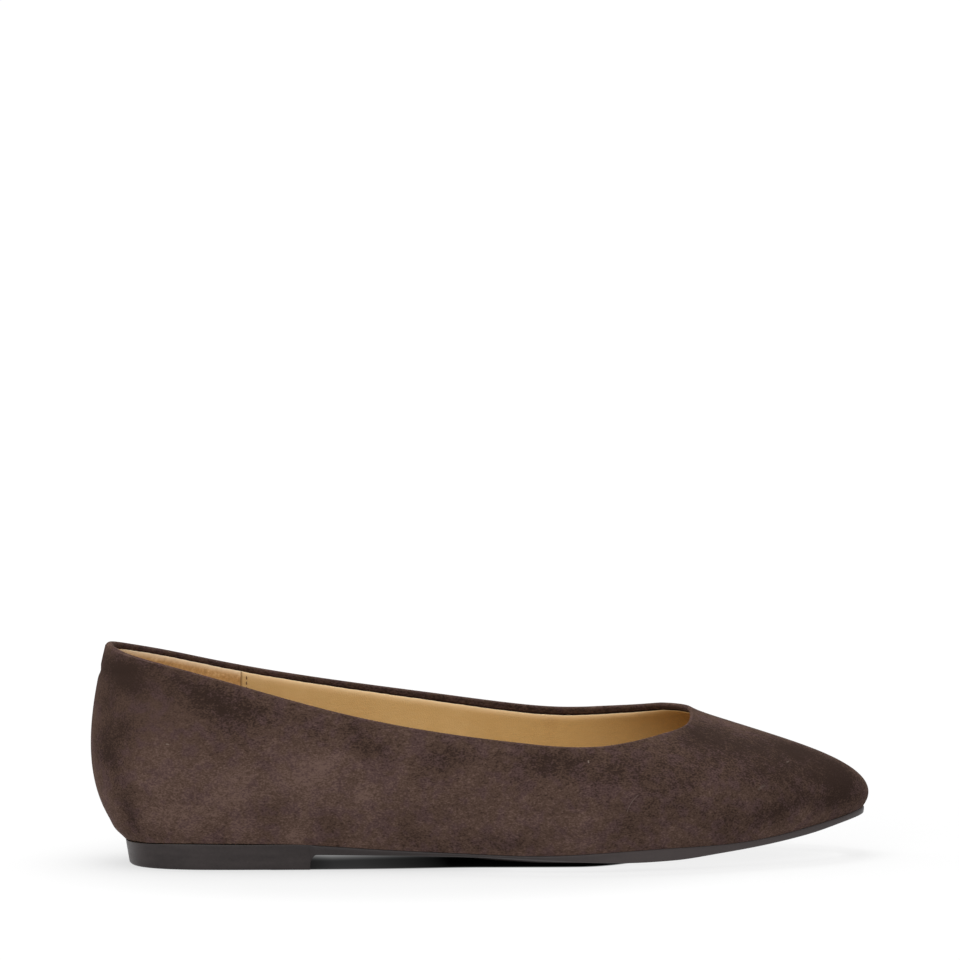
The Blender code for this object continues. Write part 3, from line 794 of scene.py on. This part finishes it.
# The pale cut top edge, widened by a painted highlight that fades out towards the throat.
hide = (0.8 * place.painted("raw")).tint(hide, LEATHER_RAW)
hide = (0.85 * place.painted("burnished")).tint(hide, LEATHER_BURNISHED)
hide.into(shader, "Base Color")
(0.46 + 0.22 * (wrinkle - 0.5)).into(shader, "Roughness")
drawn = bumped(place, wrinkle, 0.0003, 0.35)
bumped(place, pores.between(0.0, 0.25), 0.00006, 0.5, drawn).into(shader, "Normal")
front_lining.data.materials.append(leather)
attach(front_lining, "root")

SPLIT_DARK = (0.335, 0.187, 0.071)
SPLIT_MID = (0.50, 0.287, 0.108)
SPLIT_PALE = (0.75, 0.53, 0.275)
SPLIT_RAW = (0.90, 0.72, 0.50)

split, shader, place = finish(
    "tan_split", Roughness=0.93, Specular_IOR_Level=0.15, Sheen_Weight=0.15,
    Sheen_Tint=(0.85, 0.65, 0.45, 1.0),
)
broad = clouds(place, 0.010, 3.0)
tufts = clouds(place, 0.0012, 4.0, 0.7)
shade = 0.5 + 0.6 * (broad - 0.5) + 1.6 * (tufts - 0.5)
fuzz = shade.between(0.0, 0.5).tint(SPLIT_DARK, shade.between(0.45, 1.0).tint(SPLIT_MID, SPLIT_PALE))
# The split's pale cut top edge, widened by a painted highlight.
(0.8 * place.painted("raw")).tint(fuzz, SPLIT_RAW).into(shader, "Base Color")
bumped(place, tufts, 0.0004, 0.6).into(shader, "Normal")
heel_lining.data.materials.append(split)
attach(heel_lining, "root")


# Lining seam. A row of tan thread runs down each back edge of the leather lining and holds it to the split.
# Each stitch is a short, slightly bowed length of thread that dips into the leather at both ends.
SEAM_MARGIN = 1.8
STITCHES, FIRST_STITCH, STITCH_PITCH, STITCH_LENGTH = 24, 3.0, 1.8, 1.25
STITCH_PROUD, STITCH_DIP = 0.10, 0.16
THREAD_RADIUS = 0.2
THREAD_RINGS, THREAD_SIDES, WALL_STEPS = 9, 8, 200


def stitch_row(t_line):
    """Stitches down the inner wall along one t, each a tube on its own row of the grid of points.

    The stitches' middles lie at even distances down the wall. Along a stitch, from -1 to 1, the thread's
    radius follows the root of one minus the fourth power of the place, and its height over the leather falls
    with the square.
    """
    place_in = np.linspace(-1, 1, THREAD_RINGS)
    turn = np.linspace(0, 2 * np.pi, THREAD_SIDES, endpoint=False)
    middles = FIRST_STITCH + STITCH_PITCH * np.arange(STITCHES)
    drop = middles[:, None] + STITCH_LENGTH / 2 * place_in[None, :]
    fine_v = np.linspace(1, 0, WALL_STEPS)
    line = inside_wall(np.full(WALL_STEPS, t_line), fine_v, LINING_DEPTH)
    length = np.concatenate([[0], np.cumsum(np.linalg.norm(np.diff(line, axis=0), axis=1))])
    v = np.interp(drop, length, fine_v)
    here = np.full(v.shape, t_line)
    out, rising = wall_frame(here, v)
    side = np.cross(out, rising)
    middle = inside_wall(here, v, LINING_DEPTH + STITCH_PROUD - STITCH_DIP * place_in**2)
    radius = THREAD_RADIUS * np.sqrt(1 - (0.999 * place_in) ** 4)[None, :, None, None]
    ring = np.cos(turn)[:, None] * side[:, :, None] + np.sin(turn)[:, None] * out[:, :, None]
    return middle[:, :, None] + radius * ring


def joined_tubes(name, tubes):
    """One piece of many tubes on a grid (tube, ring, point): four-sided faces, and one over each end."""
    count, rings, sides = tubes.shape[:3]
    start = np.arange(count)[:, None] * rings * sides
    walls = (start[:, None] + grid_faces(rings, sides, columns_close=True)).reshape(-1, 4)
    first = start + np.arange(sides)
    last = first + (rings - 1) * sides
    return shoe_piece(name, tubes, walls.tolist() + first.tolist() + last.tolist(), sharp_past=np.pi)


margin_t = SEAM_MARGIN / MM_FOR_EACH_T
rows = [stitch_row(LINING_SEAM_T + margin_t), stitch_row(PERIOD - LINING_SEAM_T - margin_t)]
stitches = joined_tubes("lining_stitches", np.concatenate(rows))

THREAD_DARK = (0.10, 0.052, 0.022)
THREAD_LIGHT = (0.24, 0.13, 0.055)

thread, shader, place = finish("tan_thread", Roughness=0.75)
twist = clouds(stretched(place, (1.0, 1.0, 0.4)), 0.0005, 2.0)
twist.tint(THREAD_DARK, THREAD_LIGHT).into(shader, "Base Color")
bumped(place, twist, 0.0001, 0.6).into(shader, "Normal")
stitches.data.materials.append(thread)
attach(stitches, "root")


# Insole. A thin board covered with the same tan leather as the lining, cut to the last's bottom and pressed
# in between the walls. Its top edge is rounded where the cover wraps over the board.
INSOLE_THICKNESS, INSOLE_BOARD = 3.0, 1.0
INSOLE_CLEARANCE = 0.4
INSOLE_EDGE_ROUND = 0.8
INSOLE_ROWS, COVER_COLUMNS, BOARD_COLUMNS, EDGE_COLUMNS = 221, 41, 9, 7


def share_at_height(t, height):
    """The v at which the lining reaches a height over the feather line, by five steps of Newton's method."""
    first_guess, most, step = 0.06, 0.4, 1e-3
    goal = feather_line(t)[..., 2] + height
    v = np.full(goal.shape, first_guess)
    for _ in range(5):
        z = inside_wall(t, v, LINING_DEPTH)[..., 2]
        slope = (inside_wall(t, v + step, LINING_DEPTH)[..., 2] - z) / step
        v = np.clip(v + (goal - z) / slope, 0, most)
    return v


def insole_edge(t, heights, insets):
    """The insole's edge: the lining's place at each height, moved in by the clearance and an inset."""
    t_here = np.broadcast_to(t[:, None], (len(t), len(heights)))
    rise = np.broadcast_to(heights[None, :], t_here.shape)
    points = inside_wall(t_here, share_at_height(t_here, rise), LINING_DEPTH)
    points = points - (INSOLE_CLEARANCE + insets)[None, :, None] * outward(feather_line, t_here)
    points[..., 2] = feather_line(t_here)[..., 2] + rise
    return points


def across(start, end, count):
    """Points straight across from each start to each end, in even steps."""
    share = np.linspace(0, 1, count)[None, :, None]
    return start[:, None] * (1 - share) + end[:, None] * share


half_t = np.linspace(0, 1, INSOLE_ROWS)
round_turn = np.linspace(0, np.pi / 2, EDGE_COLUMNS)
edge_heights = np.concatenate([
    [0.0, INSOLE_BOARD], INSOLE_THICKNESS - INSOLE_EDGE_ROUND * (1 - np.sin(round_turn)),
])
edge_insets = np.concatenate([[0.0, 0.0], INSOLE_EDGE_ROUND * (1 - np.cos(round_turn))])
lateral = insole_edge(half_t, edge_heights, edge_insets)
medial = insole_edge(PERIOD - half_t, edge_heights, edge_insets)
cover = across(lateral[:, -1], medial[:, -1], COVER_COLUMNS)
board = across(medial[:, 0], lateral[:, 0], BOARD_COLUMNS)
insole_grid = np.concatenate([lateral, cover[:, 1:-1], medial[:, ::-1], board[:, 1:-1]], axis=1)
insole = closed_piece("leather_insole", insole_grid)
insole.data.materials.append(leather)
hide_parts("insole")
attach(insole, "root")


# Outsole. One moulding of dark grey-brown rubber: a thin sole that swells a little past the upper, and a low
# heel with a hollowed front corner. It is glued to the lasted upper, and its tread is a fine pebble grain
# inside a plain border.
SEAT_GAP, HEEL_SEAT_GAP = 0.05, 0.35
HEEL_SEAT_END_X, HEEL_SEAT_FADE = 68.0, 16.0
EDGE_SWELL, EDGE_SWELL_AT = 0.25, 0.6
EDGE_ROUND, EDGE_ROUND_HEIGHT = 0.35, 0.5
SEAT_ROUND, HEEL_SEAT_ROUND_LESS, SEAT_ROUND_HEIGHT = 0.35, 0.25, 0.4
HEEL_TAPER = 1.3
HEEL_BREAST_X, HEEL_BREAST_HOLLOW = 71.2, 2.2
FOREFOOT_FLAT = 0.25
BREAST_COLUMNS, SOLE_COLUMNS, SOLE_ROWS, TREAD_ROWS, SEAT_ROWS = 10, 241, 19, 49, 9

Underside = namedtuple("Underside", "x middle lateral medial")
UNDERSIDE = [
    Underside(70.0, 4.6, 5.05, 6.2),
    Underside(95.0, 4.2, 4.85, 6.0),
    Underside(120.0, 2.4, 4.7, 4.6),
    Underside(134.0, 1.0, 4.4, 3.4),
    Underside(150.0, 0.0, 3.75, 2.5),
    Underside(176.0, 0.0, 2.9, 2.4),
    Underside(190.0, 0.8, 3.3, 3.0),
    Underside(206.0, 2.5, 4.95, 4.6),
    Underside(222.0, 5.2, 6.85, 6.9),
    Underside(237.0, 8.4, 9.25, 9.4),
    Underside(249.0, 11.7, 12.0, 12.0),
    Underside(256.5, 13.7, 13.7, 13.7),
]


def underside(name, x):
    """The underside's height at x, nought under the heel.

    In front of the heel it is a cubic through the table whose slope at a row is the harmonic mean of its
    neighbours, and nought where they turn. At the breast it rises as a quarter circle.
    """
    rows = np.array([row.x for row in UNDERSIDE])
    column = np.array([getattr(row, name) for row in UNDERSIDE])
    spans = np.diff(rows)
    slopes = np.diff(column) / spans
    both = slopes[1:] + slopes[:-1]
    mean = 2 * slopes[1:] * slopes[:-1] / np.where(both == 0, 1, both)
    bends = np.concatenate([slopes[:1], np.where(slopes[1:] * slopes[:-1] > 0, mean, 0), slopes[-1:]])
    inner = np.clip(x, rows[0], rows[-1])
    here = np.clip(np.searchsorted(rows, inner, side="right") - 1, 0, len(spans) - 1)
    b = (inner - rows[here]) / spans[here]
    ends = (1 + 2 * b) * (1 - b) ** 2 * column[here] + b**2 * (3 - 2 * b) * column[here + 1]
    arch = ends + spans[here] * b * (1 - b) * ((1 - b) * bends[here] - b * bends[here + 1])
    past_breast = np.clip((x - HEEL_BREAST_X) / HEEL_BREAST_HOLLOW, 0, 1)
    return arch * np.sqrt(1 - (1 - past_breast) ** 2)


def sole_side(t, side, heights):
    """The outsole's side face, with heights from 0 on the underside to 1 on the seat.

    From the feather line it is set in at the bottom by a rounded edge, swells past the upper half-way up and
    is rounded in again at the seat, by a square each. On the heel a straight taper takes the swell's place.
    """
    h = np.broadcast_to(heights[None, :], (len(t), len(heights)))
    t_here = np.broadcast_to(t[:, None], h.shape)
    line = feather_line(t_here)
    x = line[..., 0]
    foot = underside(side, x)
    gap = SEAT_GAP + (HEEL_SEAT_GAP - SEAT_GAP) * np.clip((HEEL_SEAT_END_X - x) / HEEL_SEAT_FADE, 0, 1)
    tall = line[..., 2] - gap - foot
    heel = np.clip((HEEL_BREAST_X + HEEL_BREAST_HOLLOW - x) / HEEL_BREAST_HOLLOW, 0, 1)
    up, down = h * tall, (1 - h) * tall
    rounded = EDGE_ROUND * np.clip(1 - up / EDGE_ROUND_HEIGHT, 0, 1) ** 2
    seat_round = SEAT_ROUND - HEEL_SEAT_ROUND_LESS * heel
    topped = seat_round * np.clip(1 - down / SEAT_ROUND_HEIGHT, 0, 1) ** 2
    swell = EDGE_SWELL * np.clip(h / EDGE_SWELL_AT, 0, 1) * (1 - heel)
    taper = HEEL_TAPER * (1 - h) * heel
    rim = line - (rounded + topped - swell + taper)[..., None] * outward(feather_line, t_here)
    rim[..., 2] = foot + up
    return rim


# Columns stand evenly in t, except that at the breast they follow the quarter circle of its hollow.
breast_turn = np.linspace(0, np.pi / 2, BREAST_COLUMNS)
breast_t = station(HEEL_BREAST_X + HEEL_BREAST_HOLLOW * (1 - np.cos(breast_turn)))
even_t = np.linspace(0, 1, SOLE_COLUMNS)
clear_of_breast = (even_t < breast_t[0] - 1e-3) | (even_t > breast_t[-1] + 1e-3)
sole_t = np.sort(np.concatenate([even_t[clear_of_breast], breast_t]))
side_heights = (1 - np.cos(np.pi * np.linspace(0, 1, SOLE_ROWS))) / 2
lateral = sole_side(sole_t, "lateral", side_heights)
medial = sole_side(PERIOD - sole_t, "medial", side_heights)

# Across the tread the height goes from the middle's to the edge's by a smooth step, past a flat middle.
share = np.abs(np.linspace(-1, 1, TREAD_ROWS))[None, :]
tread = across(lateral[:, 0], medial[:, 0], TREAD_ROWS)
to_edge = np.clip((share - FOREFOOT_FLAT) / (1 - FOREFOOT_FLAT), 0, 1)
to_edge = to_edge**2 * (3 - 2 * to_edge)
tread[..., 2] = underside("middle", tread[..., 0]) * (1 - to_edge) + tread[..., 2] * to_edge
seat = across(medial[:, -1], lateral[:, -1], SEAT_ROWS)
sole_grid = np.concatenate([tread, medial[:, 1:], seat[:, 1:-1], lateral[:, :0:-1]], axis=1)

TREAD_BORDER, TREAD_BORDER_FADE, PAST_BREAST = 3.0, 0.8, 1.0
from_lateral = np.linalg.norm(tread - tread[:, :1], axis=-1)
from_medial = np.linalg.norm(tread - tread[:, -1:], axis=-1)
from_ends = np.minimum(tread[..., 0] - tread[0, 0, 0], tread[-1, 0, 0] - tread[..., 0])
from_breast = np.abs(tread[..., 0] - HEEL_BREAST_X - PAST_BREAST)
in_border = np.min([from_lateral, from_medial, from_ends, from_breast], axis=0)
pebbled = np.zeros(sole_grid.shape[:2])
pebbled[:, :TREAD_ROWS] = np.clip((in_border - TREAD_BORDER) / TREAD_BORDER_FADE, 0, 1)
outsole = closed_piece("rubber_outsole", sole_grid, pebbled=pebbled)

RUBBER_DARK = (0.016, 0.0118, 0.0116)
RUBBER_LIGHT = (0.046, 0.0360, 0.0352)
BUFFED_FROM, BUFFED_FULL = -0.01, 0.06
SCUFFED_FULL, SCUFFED_TO = -0.122, -0.106

rubber, shader, place = finish("moulded_rubber", Specular_IOR_Level=0.26)
tread_field = place.painted("pebbled")
broad = clouds(place, 0.020, 3.0)
skin = clouds(place, 0.0012, 3.0, 0.6)
streak = clouds(stretched(place, (0.25, 1.0, 2.0)), 0.004, 3.0)
pebble = place.node(
    "ShaderNodeTexVoronoi", {"feature": "SMOOTH_F1"},
    {"Vector": place, "Scale": 620.0, "Smoothness": 0.4},
)
# The rubber is lighter towards the forefoot.
buffed = place.axis("X").between(BUFFED_FROM, BUFFED_FULL)
# Painted highlight: the rubber is lighter at the back corner of the heel.
scuffed = 1 - place.axis("X").between(SCUFFED_FULL, SCUFFED_TO)
shade = 0.45 + 0.5 * (broad - 0.5) + 0.35 * (skin - 0.5) + 0.5 * (streak - 0.5)
shade = shade + 0.55 * buffed + 0.5 * scuffed
shade.between(0.1, 1.2).tint(RUBBER_DARK, RUBBER_LIGHT).into(shader, "Base Color")
(0.44 + 0.24 * (streak - 0.5) + 0.2 * (skin - 0.5) + 0.18 * tread_field).into(shader, "Roughness")
moulded = bumped(place, skin, 0.0001, 0.4)
bumped(place, (1 - pebble) * tread_field, 0.0005, 0.8, moulded).into(shader, "Normal")
outsole.data.materials.append(rubber)
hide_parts("outsole")
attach(outsole, "root")


# Floor. A wide, plain sheet of white acrylic that glows with painted light, so that shadows on it stay pale.
# The glow is taken out under the waist of the shoe, where a painted black shadow keeps the arch dark. It is
# drawn down a little round the shoe as painted shade and turned up under the forefoot as painted light.
FLOOR_HALF = 15.0
TABLE_REACH = (-160.0, 160.0, -70.0, 70.0)
TABLE_STEP = 1.0
CARD_START, CARD_END = 58.0, 182.0
CARD_LATERAL, CARD_MEDIAL = -23.0, 23.5
CARD_BOW, CARD_BOW_X, CARD_BOW_REACH = 1.4, 122.0, 18.0
CARD_BALL, CARD_BALL_CURVE = 159.0, 0.028
CARD_SLANT_X, CARD_SLANT, CARD_MEDIAL_MOST = 77.0, 0.2, 30.0
CARD_TAPER_X, CARD_TAPER = 125.0, 0.25
CARD_SOFT_LATERAL, CARD_SOFT_MEDIAL = 2.2, 27.0
CARD_BREAST_REACH, CARD_BREAST_SHADE = 9.0, 0.55
CARD_THROUGH, CARD_THROUGH_END, CARD_THROUGH_FADE = 0.042, 118.0, 30.0
CARD_BLACK = (0.03, 0.03, 0.03)
UNDER_START, UNDER_FULL = 100.0, 140.0
UNDER_PAST_EDGE, UNDER_SOFT = 9.0, 18.0
ACRYLIC_DARK = (0.19, 0.19, 0.19)
ACRYLIC_LIGHT = (0.21, 0.21, 0.21)
GLOW_NEAR = (0.82, 0.82, 0.82)
GLOW_FULL = (1.0, 1.0, 1.0)
GLOW_NONE = (0.0, 0.0, 0.0)
GLOW_RISES, GLOW_RISEN = 0.03, 0.9
POOL_GLOW = (0.74, 0.74, 0.74)
POOL_MIDDLE, POOL_REACH = (-0.03, -0.01), (0.115, 0.095)
POOL_INNER, POOL_OUTER = 0.4, 1.3

x_line = np.arange(TABLE_REACH[0], TABLE_REACH[1] + TABLE_STEP, TABLE_STEP)
y_line = np.arange(TABLE_REACH[2], TABLE_REACH[3] + TABLE_STEP, TABLE_STEP)
x_line = np.concatenate([[-FLOOR_HALF / MM], x_line, [FLOOR_HALF / MM]])
y_line = np.concatenate([[-FLOOR_HALF / MM], y_line, [FLOOR_HALF / MM]])
x_floor, y_floor = np.meshgrid(x_line, y_line, indexing="ij")


def carded(x, y):
    """One over the painted shadow under the arch and nought off it, fading at its edges.

    The lateral edge is bowed in by a bell at the waist and curves away at the ball with the square of the
    distance. The medial edge slants out along the waist and in along the ball, and painted light falls in
    over it with the square of the place in its fade, less so by the heel's breast. A little painted light
    comes through at the waist.
    """
    lateral = CARD_LATERAL + CARD_BOW * bell(x - CARD_BOW_X, CARD_BOW_REACH)
    lateral = lateral + CARD_BALL_CURVE * np.maximum(x - CARD_BALL, 0) ** 2
    medial = np.minimum(CARD_MEDIAL + CARD_SLANT * np.maximum(x - CARD_SLANT_X, 0), CARD_MEDIAL_MOST)
    medial = medial - CARD_TAPER * np.maximum(x - CARD_TAPER_X, 0)
    by_breast = np.clip(1 - (x - HEEL_BREAST_X) / CARD_BREAST_REACH, 0, 1)
    falls_in = np.clip(1 - (medial - y) / CARD_SOFT_MEDIAL, 0, 1) ** (2 + by_breast)
    through = CARD_THROUGH * np.clip((CARD_THROUGH_END - x) / CARD_THROUGH_FADE, 0, 1)
    through = through * (1 - CARD_BREAST_SHADE * by_breast)
    across = np.minimum((y - lateral) / CARD_SOFT_LATERAL, 1 - falls_in - through)
    along = np.minimum(x - CARD_START, CARD_END - x) / CARD_SOFT_LATERAL
    return np.clip(np.minimum(across, along), 0, 1)


def under_forefoot(x, y):
    """Painted light: one under the forefoot and nought off it, fading across the outsole's edge and towards
    the waist.
    """
    t_here = station(np.clip(x, HEEL_BACK_X, FEATHER[-1].x))
    lateral = feather_line(t_here)[..., 1] - UNDER_PAST_EDGE
    medial = feather_line(PERIOD - t_here)[..., 1] + UNDER_PAST_EDGE
    inside = np.minimum(y - lateral, medial - y) / UNDER_SOFT
    along = np.minimum((x - UNDER_START) / (UNDER_FULL - UNDER_START), (FEATHER[-1].x - x) / UNDER_PAST_EDGE)
    return np.clip(inside, 0, 1) * np.clip(along, 0, 1)


def off_middle(place, middle, reach):
    """The square of the distance from a middle, with each axis measured in its own reach."""
    inside = place.node(
        "ShaderNodeMapping", {"vector_type": "TEXTURE"},
        {"Vector": place, "Location": (*middle, 0.0), "Scale": (*reach, 1.0)},
    )
    both = {0: inside, 1: inside}
    return place.node("ShaderNodeVectorMath", {"operation": "DOT_PRODUCT"}, both, output="Value")


points = np.stack([x_floor, y_floor, np.zeros_like(x_floor)], axis=-1) * MM
x_shoe, y_shoe = x_floor - ROW_PLACE[0], y_floor - ROW_PLACE[1]
floor = new_object("studio_floor", new_mesh(
    "studio_floor", points, grid_faces(*x_floor.shape),
    card=carded(x_shoe, y_shoe), under=under_forefoot(x_shoe, y_shoe),
))

acrylic, shader, place = finish(
    "white_acrylic", Roughness=0.9, Specular_IOR_Level=0.0, Emission_Strength=0.84,
)
# Painted shadow: under the arch the floor turns near black and loses its glow.
card = place.painted("card")
white = clouds(place, 0.6).tint(ACRYLIC_DARK, ACRYLIC_LIGHT)
card.tint(white, CARD_BLACK).into(shader, "Base Color")
# Painted shade: the glow is dimmer near the shoe and rises to full far from it.
far = off_middle(place, (0.0, 0.0), (1.0, 1.0)).between(GLOW_RISES, GLOW_RISEN)
# Painted shadow: the glow is drawn down in a pool round the shoe.
off_pool = off_middle(place, POOL_MIDDLE, POOL_REACH).between(POOL_INNER, POOL_OUTER)
glow = off_pool.tint(POOL_GLOW, far.tint(GLOW_NEAR, GLOW_FULL))
# Painted light: the glow is turned up to full under the forefoot.
glow = place.painted("under").tint(glow, GLOW_FULL)
card.tint(glow, GLOW_NONE).into(shader, "Emission Color")
floor.data.materials.append(acrylic)


# Light. A white room, brightest overhead, gives most of it. A wide, low soft box stands at the front left, a
# small one at the back left grazes the heel, and a weak one above lights the inside.
ROOM_LEVEL = (0.38, 0.38, 0.38)
ROOM_OVERHEAD = (1.20, 1.20, 1.20)
world = bpy.data.worlds.new("white_room")
world.use_nodes = True
background = world.node_tree.nodes["Background"]
seen = Tone(world.node_tree, None).node("ShaderNodeTexCoord", {}, {}, output="Generated")
seen.axis("Z").between(0.0, 1.0).tint(ROOM_LEVEL, ROOM_OVERHEAD).into(background, "Color")
bpy.context.scene.world = world
bpy.context.scene.view_settings.view_transform = "Standard"

SoftBox = namedtuple("SoftBox", "name place aim width height power")
SOFT_BOXES = [
    SoftBox("front_left_box", (-1.2, -2.3, 0.85), (0.0, 0.0, 0.03), 2.6, 1.2, 30.0),
    SoftBox("back_left_box", (-1.6, 0.7, 0.9), (-0.1, 0.0, 0.04), 0.6, 0.9, 5.0),
    SoftBox("top_box", (-0.1, 0.1, 2.2), (0.0, 0.0, 0.03), 1.6, 1.6, 30.0),
]
for box in SOFT_BOXES:
    light = bpy.data.lights.new(box.name, "AREA")
    light.shape = "RECTANGLE"
    light.size, light.size_y, light.energy = box.width, box.height, box.power
    lamp = new_object(box.name, light)
    lamp.location = box.place
    beam = np.array(box.aim) - np.array(box.place)
    level = np.hypot(beam[0], beam[1])
    lamp.rotation_euler = (np.arctan2(level, -beam[2]), 0.0, np.arctan2(-beam[0], beam[1]))


# Camera. A long lens from just above the floor, a little behind the shoe's middle on its lateral side.
# The aim point lies over the shoe's middle and lands low in the picture.
AZIMUTH = np.radians(-4.0)
ELEVATION = np.radians(7.0)
DISTANCE = 3.5
PIXELS_PER_METRE = 3035.0
PICTURE = 960.0
AIM = np.array([0.0, 0.0, 0.036])
AIM_ACROSS, AIM_DOWN = 481.6, 750.6
SENSOR = 36.0

focal_pixels = PIXELS_PER_METRE * DISTANCE
lens = bpy.data.cameras.new("studio_camera")
lens.sensor_width = SENSOR
lens.lens = focal_pixels * SENSOR / PICTURE
lens.clip_end = 100.0
camera = new_object("studio_camera", lens)
level = np.cos(ELEVATION)
back = np.array([np.sin(AZIMUTH) * level, -np.cos(AZIMUTH) * level, np.sin(ELEVATION)])
camera.location = AIM + DISTANCE * back
tip = -ELEVATION + np.arctan((AIM_DOWN - PICTURE / 2) / focal_pixels)
swing = AZIMUTH + np.arctan((AIM_ACROSS - PICTURE / 2) / focal_pixels)
camera.rotation_euler = (np.pi / 2 + tip, 0.0, swing)
bpy.context.scene.camera = camera
